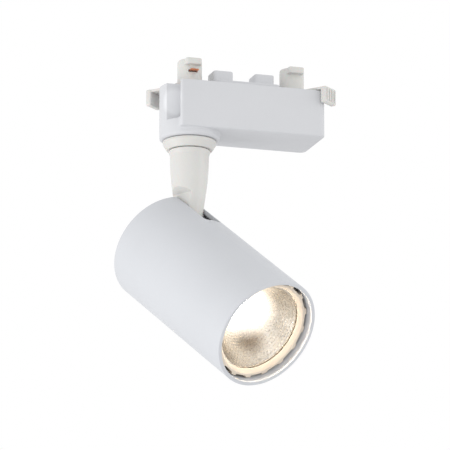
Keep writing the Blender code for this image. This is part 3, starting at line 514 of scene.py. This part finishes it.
def mirror_aluminium():
    """Vacuum-metallised plastic, a little warm, with faint clouding, a painted shade darkening one side and a
    painted reflection glowing next to the lamp.
    """
    metal = Surface("mirror_aluminium", linear(226, 221, 213), 0.3, 1.0)
    metal.vary(400.0, linear(208, 198, 184), 0.6)
    metal.mottle(1200.0, 0.22, 0.36)
    metal.bump(metal.noise(1600.0, 2.0), 0.00001, 0.35)
    # painted shade: a darker colour on the side that gets less of the lamp
    metal.tint(metal.near(PAINTED_SHADE_SPOT, 0.002, 0.011, 0.8), linear(128, 112, 94))
    # painted reflection: emission on the reflector next to its lamp, fading outwards
    metal.glow(metal.near(PAINTED_GLOW_CENTRE, 0.008, 0.0175, 1.1))
    return metal.set(Emission_Color=linear(255, 246, 232)).done()


def phosphor():
    """Lit phosphor disc: warm white, with the gentle cloudiness of its silicone."""
    glow = Surface("phosphor", linear(255, 225, 150), 0.5)
    glow.vary(900.0, linear(250, 208, 120), 0.6)
    glow.bump(glow.noise(2500.0, 2.0), 0.00001, 0.3)
    return glow.set(Emission_Color=linear(255, 242, 224), Emission_Strength=EMITTER_STRENGTH).done()


def board():
    mask = Surface("board_green", linear(32, 92, 52), 0.35)
    mask.vary(500.0, linear(22, 72, 40), 0.7)
    tracks = mask.spread(mask.noise(260.0, 0.0, (1.0, 4.0, 1.0)), 0.0, 0.8, 0.5, 0.54)
    mask.tint(tracks, linear(58, 124, 70))
    mask.mottle(400.0, 0.28, 0.42)
    mask.bump(mask.noise(3000.0, 1.0), 0.00001, 0.4)
    return mask.done()


def plain(name, colour, other, roughness, scale=700.0, depth=0.00001):
    """A small inner part's material: two close tones, wandering gloss and a fine grain."""
    made = Surface(name, linear(*colour), roughness)
    made.vary(scale, linear(*other), 0.7)
    made.mottle(scale * 1.5, roughness - 0.08, roughness + 0.1)
    made.bump(made.noise(scale * 4, 2.0), depth, 0.5)
    return made.done()


MATERIALS = {
    "white_paint": white_paint(),
    "housing_plastic": housing_plastic(),
    "ivory_plastic": ivory_plastic(),
    "bezel_plastic": bezel_plastic(),
    "zinc_steel": steel(),
    "copper": copper(),
    "sink_aluminium": sink_aluminium(),
    "mirror_aluminium": mirror_aluminium(),
    "board_green": board(),
    "phosphor": phosphor(),
    "cob_ceramic": plain("cob_ceramic", (232, 231, 226), (220, 218, 212), 0.4),
    "ferrite": plain("ferrite", (58, 58, 62), (40, 40, 44), 0.6, 1500.0, depth=0.00003),
    "winding_tape": plain("winding_tape", (226, 190, 70), (206, 168, 50), 0.45, 300.0),
    "capacitor_sleeve": plain("capacitor_sleeve", (36, 38, 46), (28, 30, 38), 0.32, 200.0),
    "chip_black": plain("chip_black", (34, 34, 35), (24, 24, 25), 0.5, 1200.0),
    "fuse_body": plain("fuse_body", (92, 138, 134), (72, 118, 116), 0.5, 600.0),
    "pom": plain("pom", (62, 62, 62), (50, 50, 50), 0.42, 900.0),
    "holder_plastic": plain("holder_plastic", (232, 231, 228), (222, 220, 216), 0.42, 500.0),
    "red_lead": plain("red_lead", (196, 40, 32), (174, 30, 26), 0.4, 500.0),
    "black_lead": plain("black_lead", (34, 34, 36), (26, 26, 28), 0.4, 500.0),
}


def dress_nodes():
    """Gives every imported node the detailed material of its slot."""
    for entry in frame["record"]["subparts"]:
        node = frame["nodes"][entry["node"]]
        node.data.materials.clear()
        node.data.materials.append(MATERIALS[entry["material_slot"]])


# ---- Adapter ----
def edges_at(bm, axis, value):
    """The edges that lie in the plane across an axis (0 to 2) at a value."""
    return [e for e in bm.edges if all(abs(v.co[axis] - value) < TINY for v in e.verts)]


def box_shell():
    """The box as one solid, its two ends rounded by different radii and its bottom and top by two more."""
    shell = block("housing_shell", (BOX_LEFT, -BOX_HALF_Y, BOX_BOTTOM), (BOX_RIGHT, BOX_HALF_Y, BOX_TOP))
    bm = bmesh.new()
    bm.from_mesh(shell.data)
    for radius, x in ((LEFT_CORNER, BOX_LEFT), (RIGHT_CORNER, BOX_RIGHT)):
        round_edges(bm, [e for e in edges_at(bm, 0, x) if is_upright(e)], radius, 10)
    round_edges(bm, edges_at(bm, 2, BOX_BOTTOM), 0.0008, 4)
    round_edges(bm, edges_at(bm, 2, BOX_TOP), 0.0003, 2)
    bm.to_mesh(shell.data)
    bm.free()
    return shell


def boss_skirt():
    """Concave fillet between the box's bottom and the boss, kept inside the box's plan."""
    root, foot = BOX_BOTTOM + PAST, BOX_BOTTOM - BOSS_FLARE
    wide = BOSS_RADIUS + BOSS_FLARE
    inset = 0.0005
    curve = [
        (BOSS_RADIUS + BOSS_FLARE * (1 - sin(a)), BOX_BOTTOM - BOSS_FLARE * (1 - cos(a)), 0.0)
        for a in (pi / 2 * i / 6 for i in range(1, 6))
    ]
    skirt = turned(
        "skirt",
        [(0.0, root, 0.0), (wide, root, 0.0), (wide, BOX_BOTTOM, 0.0), *curve,
         (BOSS_RADIUS - 0.0001, foot, 0.0), (0.0, foot, 0.0)],
        closed=False,
    )
    skirt.data.transform(LEFT_HUB)
    keep = block(
        "keep", (BOX_LEFT + inset, inset - BOX_HALF_Y, BOX_BOTTOM - WELL_PAST),
        (BOX_RIGHT, BOX_HALF_Y - inset, BOX_TOP),
    )
    return combine(skirt, "INTERSECT", keep)


def housing():
    """Open-topped box with the swivel's boss, the column over it and two pockets beside the column."""
    shell = box_shell()
    boss = turned(
        "boss",
        [(0.0, BOX_TOP, 0.0), (BOSS_RADIUS, BOX_TOP, 0.0003), (BOSS_RADIUS, BOSS_BOTTOM, 0.0016),
         (0.0, BOSS_BOTTOM, 0.0)],
        closed=False,
    )
    boss.data.transform(LEFT_HUB)
    combine(shell, "UNION", boss, boss_skirt())
    pockets = []
    for side in (-1, 1):
        near, far = sorted((side * COLUMN_HALF_WIDTH, side * (BOX_HALF_Y - LIP_THICK)))
        low, high = (BOX_LEFT - WELL_PAST, near, BOSS_TOP), (END_WALL, far, WELL_PAST)
        pockets.append(block(f"pocket_{side}", low, high))
    combine(shell, "DIFFERENCE", *pockets)
    soften(shell, FINE_EDGE, 50.0)
    cavity = block(
        "cavity", (END_WALL + BOX_WALL, BOX_WALL - BOX_HALF_Y, BOX_FLOOR),
        (BOX_RIGHT - BOX_WALL, BOX_HALF_Y - BOX_WALL, WELL_PAST), INNER_CORNER,
    )
    hub = (-HUB_X, 0.0)
    combine(shell, "DIFFERENCE", cavity)
    combine(shell, "DIFFERENCE", rod("hub_room", HUB_ROOM, BOX_FLOOR, WELL_PAST, hub, sides=64))
    combine(shell, "DIFFERENCE", rod("tab_room", TAB_ROOM[0], BOX_FLOOR, TAB_ROOM[1], hub, sides=64))
    root = BOX_FLOOR - BOX_WALL / 2
    post_top = BOX_TOP - COVER_THICK - GAP
    inside = [rod(f"post_{n}", radius, root, post_top, (x, y)) for n, (x, y, radius) in enumerate(POSTS)]
    for number, spot in enumerate(BOARD_RESTS):
        inside.append(rod(f"rest_{number}", BOARD_REST_RADIUS, root, BOARD_REST_TOP, spot, sides=24))
    near, far, half_width = STOP_POST
    stop = block("stop", (near, -half_width, root), (far, half_width, TAB_ROOM[1] + 0.0005))
    stop.data.transform(LEFT_HUB @ Matrix.Rotation(PAN + pi, 4, "Z"))
    combine(shell, "UNION", *inside, stop)
    pilots = [
        rod(f"pilot_{n}", PILOT_RADIUS, post_top - PILOT_DEPTH, 0.0, (x, y))
        for n, (x, y, _) in enumerate(POSTS)
    ]
    bore = rod("bore", TUBE_RADIUS + 0.0004, BOSS_BOTTOM - PAST, BOX_FLOOR + PAST, hub, sides=64)
    combine(shell, "DIFFERENCE", bore, *pilots)
    finish_piece(shell, ADAPTER, "adapter", ["adapter_housing"], "housing_plastic")


def cover():
    """Lid with the seat and two keels for the track, the turrets' holes and the screws'."""
    clear = BOX_WALL + GAP
    bottom = BOX_TOP - COVER_THICK
    lid = block(
        "cover_lid", (END_WALL + clear, clear - BOX_HALF_Y, bottom),
        (BOX_RIGHT - clear, BOX_HALF_Y - clear, BOX_TOP), INNER_CORNER, 0.0002,
    )
    ear = rod("cover_ear", HUB_ROOM - GAP, bottom, BOX_TOP, (-HUB_X, 0.0), sides=64)
    seat_x, seat_y = SEAT_HALF_SIZE
    seat = block("seat", (-seat_x, -seat_y, bottom + 0.001), (seat_x, seat_y, 0.0), 0.002, 0.0003)
    keel_x, keel_y = KEEL_HALF_SIZE
    keels = [
        block(f"keel_{n}", (x - keel_x, -keel_y, -0.001), (x + keel_x, keel_y, KEEL_TOP), 0.0015, 0.0005)
        for n, x in enumerate((-KEEL_X, KEEL_X))
    ]
    combine(lid, "UNION", ear, seat, *keels)
    holes = [
        rod(f"hole_{n}", HUB_HOLE, bottom - PAST, PAST, (x, 0.0), sides=80)
        for n, x in enumerate((-HUB_X, HUB_X))
    ]
    sinks = []
    for number, (x, y, _) in enumerate(POSTS):
        holes.append(rod(f"screw_hole_{number}", PILOT_RADIUS, bottom - PAST, PAST, (x, y)))
        sinks.append(rod(f"sink_{number}", 0.0021, BOX_TOP - 0.0012, PAST, (x, y)))
    combine(lid, "DIFFERENCE", *holes)
    combine(lid, "DIFFERENCE", *sinks)
    finish_piece(lid, ADAPTER, "adapter", ["adapter_cover"], "housing_plastic")


def screw_piece(node, place, body, sizes):
    """Pan head with a hexagon socket on a threaded shaft."""
    head, height, shaft, length = sizes
    thread = []
    pitch = shaft * 0.5
    turns = int((length - shaft) / pitch)
    for turn in range(turns):
        z = -pitch * (turn + 0.5)
        thread += [(shaft, z, 0.0), (shaft * 0.86, z - pitch / 2, 0.0)]
    made = turned(
        f"{node}_fine",
        [(0.0, height, 0.0), (head, height, head * 0.35), (head, 0.0, 0.0001), (shaft * 0.9, 0.0, 0.0),
         *thread, (shaft * 0.3, -length, 0.0), (0.0, -length, 0.0)],
        sides=40, closed=False,
    )
    combine(made, "DIFFERENCE", rod(f"{node}_socket", head * 0.45, height * 0.4, height * 2, sides=6))
    finish_piece(made, place, body, [node], "zinc_steel")


def screws():
    for number, (x, y, _) in enumerate(POSTS, 1):
        place = Matrix.Translation((x, y, BOX_TOP - COVER_SCREW_SIZES[1]))
        screw_piece(f"cover_screw_{number}", place, "adapter", COVER_SCREW_SIZES)
    for number, side in enumerate((-1, 1), 1):
        seat = HEAD_REAR - CAP_INSET + GAP
        place = HEAD @ Matrix.Translation((CAP_SCREW[0], side * CAP_SCREW[1], seat))
        screw_piece(f"cap_screw_{number}", place, "head", CAP_SCREW_SIZES)


# ---- Turrets ----
def turret(node, body, place, heading, with_contacts):
    """Plug with the wing that locks behind the track's lips, and an arm with a ribbed finger tab."""
    groove = 0.0046
    plug = turned(
        f"{node}_fine",
        [(0.0, 0.0120, 0.0), (PLUG_RADIUS, 0.0120, 0.0012), (PLUG_RADIUS, -0.0003, 0.0002),
         (0.0080, -0.0003, 0.0003), (0.0080, -0.0017, 0.0002), (PLUG_RADIUS, -0.0017, 0.0),
         (PLUG_RADIUS, -0.0045, 0.0), (groove, -0.0045, 0.0), (groove, -0.0055, 0.0),
         (PLUG_RADIUS, -0.0055, 0.0), (PLUG_RADIUS, -0.0065, 0.0003), (0.0, -0.0065, 0.0)],
        sides=80, closed=False,
    )
    wing = block(f"{node}_wing", (-0.0040, -0.0083, 0.0084), (0.0040, 0.0083, 0.0116), 0.0015, 0.0004)
    arm = block(f"{node}_arm", (0.003, -0.0045, -0.00165), (0.0210, 0.0045, -0.00035), 0.0, 0.0003)
    tab = block(f"{node}_tab", (TAB_INNER, -0.0050, -0.0085), (TAB_OUTER, 0.0050, -0.0003), 0.0, 0.0007)
    lever = [arm, tab, *finger_ribs(node)]
    for piece in lever:
        piece.data.transform(Matrix.Rotation(heading, 4, "Z"))
    slot = block(f"{node}_driver_slot", (-0.0006, -0.0040, 0.0108), (0.0006, 0.0040, 0.0130))
    combine(plug, "UNION", wing, *lever)
    combine(plug, "DIFFERENCE", slot)
    if with_contacts:
        combine(plug, "DIFFERENCE", *contact_channels(node))
    finish_piece(plug, place, body, [node], "ivory_plastic")


def finger_ribs(node):
    half = 0.0005
    near, far = TAB_OUTER - 0.001, TAB_OUTER + 0.0006
    return [
        block(f"{node}_rib_{n}", (near, y - half, -0.0074), (far, y + half, -0.0012), 0.0, 0.0003)
        for n, y in enumerate((-0.0033, -0.0011, 0.0011, 0.0033))
    ]


def contact_channels(node):
    """Room for the two contact strips: up each side of the plug and out through it."""
    half = 0.0023
    top = 0.0061
    channels = []
    for side in (-1, 1):
        for inner, outer, bottom in ((0.0027, 0.0039, -0.0075), (0.0030, 0.0080, 0.0049)):
            near, far = sorted((side * inner, side * outer))
            channels.append(block(f"{node}_channel", (-half, near, bottom), (half, far, top)))
    return channels


def turrets():
    turret("contact_turret", "contact_lever", LEFT_HUB, LOCKED + pi, True)
    turret("lock_turret", "lock_lever", RIGHT_HUB, LOCKED, False)


# ---- Stem ----
def collar():
    """Ring under the boss, hollowed at the top for the friction ring."""
    top, low = -0.0289, -0.0334
    outer, hollow, bore = 0.0130, 0.0104, TUBE_RADIUS + GAP
    ledge = -0.0295 - GAP
    made = turned(
        "collar_fine",
        [(0.0120, top, 0.0), (outer, top, 0.0004), (outer, -0.0304, 0.0012), (0.0111, low, 0.0006),
         (bore, low, 0.0), (bore, ledge, 0.0), (hollow, ledge, 0.0), (hollow, top, 0.0)],
        sides=112,
    )
    finish_piece(made, STEM, "stem", ["swivel_collar"], "ivory_plastic")


STEM_END = 0.0070                       # radius round the pin
STEM_PROFILE = (
    (0.0000, -0.0337, 0.0), (0.0103, -0.0337, 0.0004), (0.0095, -0.0362, 0.0030), (0.0093, -0.0430, 0.0),
    (0.0088, -0.0495, 0.0), (0.0083, -0.0530, 0.0), (0.0080, -0.0565, 0.0), (0.0074, -0.0600, 0.0),
    (0.0069, -0.0630, 0.0), (0.0066, -0.0680, 0.0), (0.0063, -0.0800, 0.0), (0.0068, -0.0890, 0.0),
)
FLAT_OUTLINE = (
    (0.0040, -0.1100), (0.0040, -0.0840), (0.0047, -0.0825), (0.0047, -0.0554), (0.0089, -0.0522),
    (0.0200, -0.0522), (0.0200, -0.1100),
)


def stem():
    """Tapered arm, flattened on two sides where it enters the head and round at the pin."""
    pivot = PIVOT.z
    end = [(STEM_END * cos(a), pivot - STEM_END * sin(a), 0.0) for a in (pi / 2 * i / 10 for i in range(10))]
    arm = turned("stem_fine", [*STEM_PROFILE, *end, (0.0, pivot - STEM_END, 0.0)], closed=False)
    flats = [prism(f"flat_{side}", [(side * y, z) for y, z in FLAT_OUTLINE], -0.02, 0.02) for side in (-1, 1)]
    combine(arm, "DIFFERENCE", *flats)
    soften(arm, 0.0010, 30.0, 4)
    cutters = [
        rod("socket", TUBE_RADIUS + GAP, -0.0378, -0.0327),
        rod("lead_bore", 0.0029, -0.0820, -0.0375, sides=32),
        block("lead_exit", (-0.0100, -0.0022, -0.0821), (0.0, 0.0022, -0.0750)),
        rod("pin_hole", PIN_RADIUS + GAP, -WELL_PAST, WELL_PAST, (0.0, pivot), "Y"),
    ]
    combine(arm, "DIFFERENCE", *cutters)
    finish_piece(arm, STEM, "stem", ["stem_arm"], "ivory_plastic")


# ---- Head ----
def barrel():
    """Tube with the stem's slot, whose two inner corners are rounded."""
    radius, inner = HEAD_RADIUS, HEAD_RADIUS - HEAD_WALL
    tube = turned(
        "barrel_shell",
        [(0.0260, HEAD_REAR, 0.0), (radius, HEAD_REAR, 0.0014), (radius, HEAD_FRONT, 0.0005),
         (inner, HEAD_FRONT, 0.0004), (inner, HEAD_REAR, 0.0002)],
        sides=160,
    )
    slot = block(
        "slot", (WELL_PAST, -SLOT_WIDTH / 2, SLOT_END),
        (2 * HEAD_RADIUS, SLOT_WIDTH / 2, HEAD_REAR + WELL_PAST),
    )
    bm = bmesh.new()
    bm.from_mesh(slot.data)
    along_x = [e for e in edges_at(bm, 2, SLOT_END) if abs(e.verts[0].co.x - e.verts[1].co.x) > TINY]
    round_edges(bm, along_x, 0.0020, 8)
    bm.to_mesh(slot.data)
    bm.free()
    combine(tube, "DIFFERENCE", slot)
    soften(tube, FINE_EDGE, 40.0)
    finish_piece(tube, HEAD, "head", ["head_barrel"], "white_paint")


def rear_cap():
    """Disc in the barrel's rear, slotted for the stem and drilled for two long screws."""
    radius = HEAD_RADIUS - HEAD_WALL - GAP
    high = HEAD_REAR - CAP_INSET
    low = high - CAP_THICK
    cap = turned(
        "rear_cap_fine",
        [(0.0, high, 0.0), (radius, high, 0.0005), (radius, low, 0.0), (0.0, low, 0.0)],
        sides=128, closed=False,
    )
    slot = block(
        "cap_slot", (CAP_SLOT_END, -SLOT_WIDTH / 2, low - WELL_PAST),
        (2 * HEAD_RADIUS, SLOT_WIDTH / 2, high + WELL_PAST), 0.0020,
    )
    holes = [
        rod(f"cap_hole_{side}", 0.0018, low - PAST, high + PAST, (CAP_SCREW[0], side * CAP_SCREW[1]))
        for side in (-1, 1)
    ]
    combine(cap, "DIFFERENCE", slot, *holes)
    soften(cap, 0.0002, 40.0)
    finish_piece(cap, HEAD, "head", ["rear_cap"], "white_paint")


def reflector_point(share):
    """Radius and height on the parabola, from the throat (0) to the mouth (1)."""
    rear, front, throat, mouth = REFLECTOR
    return sqrt(throat ** 2 + share * (mouth ** 2 - throat ** 2)), rear + (front - rear) * share


def reflector():
    """Parabolic shell whose inside is hammered into staggered rows of shallow dimples."""
    rows, cells, fine, depth = 16, 60, 4, 0.00020
    bm = bmesh.new()
    along, around = rows * fine, cells * fine
    rings = []
    for row in range(along + 1):
        radius, height = reflector_point((row / along) ** 1.25)
        v = (row % fine) / fine * 2 - 1
        stagger = 0.5 * ((row // fine) % 2)
        ring = []
        for step in range(around):
            u = ((step / fine + stagger) % 1.0) * 2 - 1
            reach = radius + depth * (1 - u * u) * (1 - v * v)
            angle = 2 * pi * step / around
            ring.append(bm.verts.new((reach * cos(angle), reach * sin(angle), height)))
        rings.append(ring)
    front, flange = REFLECTOR[1], REFLECTOR[3] + 0.0019
    flange_rear = front + 0.0008
    back = [(flange, front), (flange, flange_rear)]
    for step in range(12, -1, -1):
        radius, height = reflector_point(step / 12)
        back.append((radius + REFLECTOR_WALL, max(height, flange_rear)))
    rings += [ring_of_verts(bm, radius, height, around) for radius, height in back]
    for upper, lower in zip(rings, [*rings[1:], rings[0]]):
        for i in range(around):
            j = (i + 1) % around
            bm.faces.new([upper[i], lower[i], lower[j], upper[j]])
    bmesh.ops.recalc_face_normals(bm, faces=bm.faces)
    made = to_object("reflector_hammered", bm)
    finish_piece(made, HEAD, "head", ["reflector"], "mirror_aluminium", 24.0)


def bezel():
    """Ring round the reflector's mouth, with a row of vent notches in its outer edge."""
    seat, skirt, shoulder = REFLECTOR[1] - GAP, 0.0248, -0.0604
    ring = turned(
        "bezel_fine",
        [(0.0241, BEZEL_REAR, 0.0), (skirt, BEZEL_REAR, 0.0002), (skirt, shoulder, 0.0),
         (BEZEL_RADIUS, shoulder, 0.0), (BEZEL_RADIUS, BEZEL_FRONT, 0.0003), (0.0231, BEZEL_FRONT, 0.0005),
         (0.0213, seat, 0.0002), (BEZEL_INNER, seat, 0.0), (BEZEL_INNER, BEZEL_REAR, 0.0)],
        sides=160,
    )
    half = 0.0243 * sin(pi / BEZEL_NOTCHES) * NOTCH_SHARE
    notches = []
    for number in range(BEZEL_NOTCHES):
        notch = block(f"notch_{number}", (0.0240, -half, BEZEL_FRONT - PAST), (0.0270, half, -0.0550), 0.0006)
        notch.data.transform(Matrix.Rotation(2 * pi * number / BEZEL_NOTCHES, 4, "Z"))
        notches.append(notch)
    combine(ring, "DIFFERENCE", *notches)
    finish_piece(ring, HEAD, "head", ["bezel_ring"], "bezel_plastic")


def emitter():
    """The phosphor's shallow dome over the board."""
    radius, rear = 0.0056, -0.0376
    dome = turned(
        "emitter_dome",
        [(0.0, -0.0390, 0.0), (0.0030, -0.0388, 0.0), (0.0050, -0.0383, 0.0), (radius, -0.0378, 0.0),
         (radius, rear, 0.0), (0.0, rear, 0.0)],
        sides=64, closed=False,
    )
    finish_piece(dome, HEAD, "head", ["cob_emitter"], "phosphor")


# ---- Stage ----
def stage():
    bm = bmesh.new()
    bmesh.ops.create_grid(bm, x_segments=1, y_segments=1, size=FLOOR_HALF_SIZE)
    floor = to_object("floor", bm)
    floor.location = (0.0, 0.0, FLOOR_Z)
    paint = Surface("floor_paint", linear(238, 238, 238), 0.8)
    paint.vary(0.8, linear(234, 234, 235), 0.5)
    floor.data.materials.append(paint.done())
    world = bpy.data.worlds.new("studio")
    world.use_nodes = True
    background = world.node_tree.nodes["Background"]
    background.inputs["Color"].default_value = (1.0, 1.0, 1.0, 1.0)
    background.inputs["Strength"].default_value = 1.0
    bpy.context.scene.world = world
    bpy.context.scene.view_settings.view_transform = "Standard"


def lights():
    """White softboxes, all turned to the middle of the view."""
    for name, (place, watts) in SOFTBOXES.items():
        data = bpy.data.lights.new(name, "AREA")
        data.energy = watts
        data.size = SOFTBOX_SIZE
        made = bpy.data.objects.new(name, data)
        made.location = place
        made.rotation_euler = (VIEW_CENTRE - Vector(place)).to_track_quat("-Z", "Y").to_euler()
        bpy.context.scene.collection.objects.link(made)


def camera():
    level = cos(VIEW_ELEVATION)
    heading = Vector((sin(VIEW_AZIMUTH) * level, cos(VIEW_AZIMUTH) * level, sin(VIEW_ELEVATION)))
    data = bpy.data.cameras.new("camera")
    data.lens = LENS
    data.sensor_width = SENSOR_WIDTH
    data.clip_start = 0.05
    data.clip_end = 60.0
    made = bpy.data.objects.new("camera", data)
    made.location = VIEW_CENTRE - heading * VIEW_DISTANCE
    made.rotation_euler = heading.to_track_quat("-Z", "Y").to_euler()
    bpy.context.scene.collection.objects.link(made)
    bpy.context.scene.camera = made


camera()
stage()
lights()
dress_nodes()
housing()
cover()
screws()
turrets()
collar()
stem()
barrel()
rear_cap()
reflector()
bezel()
emitter()
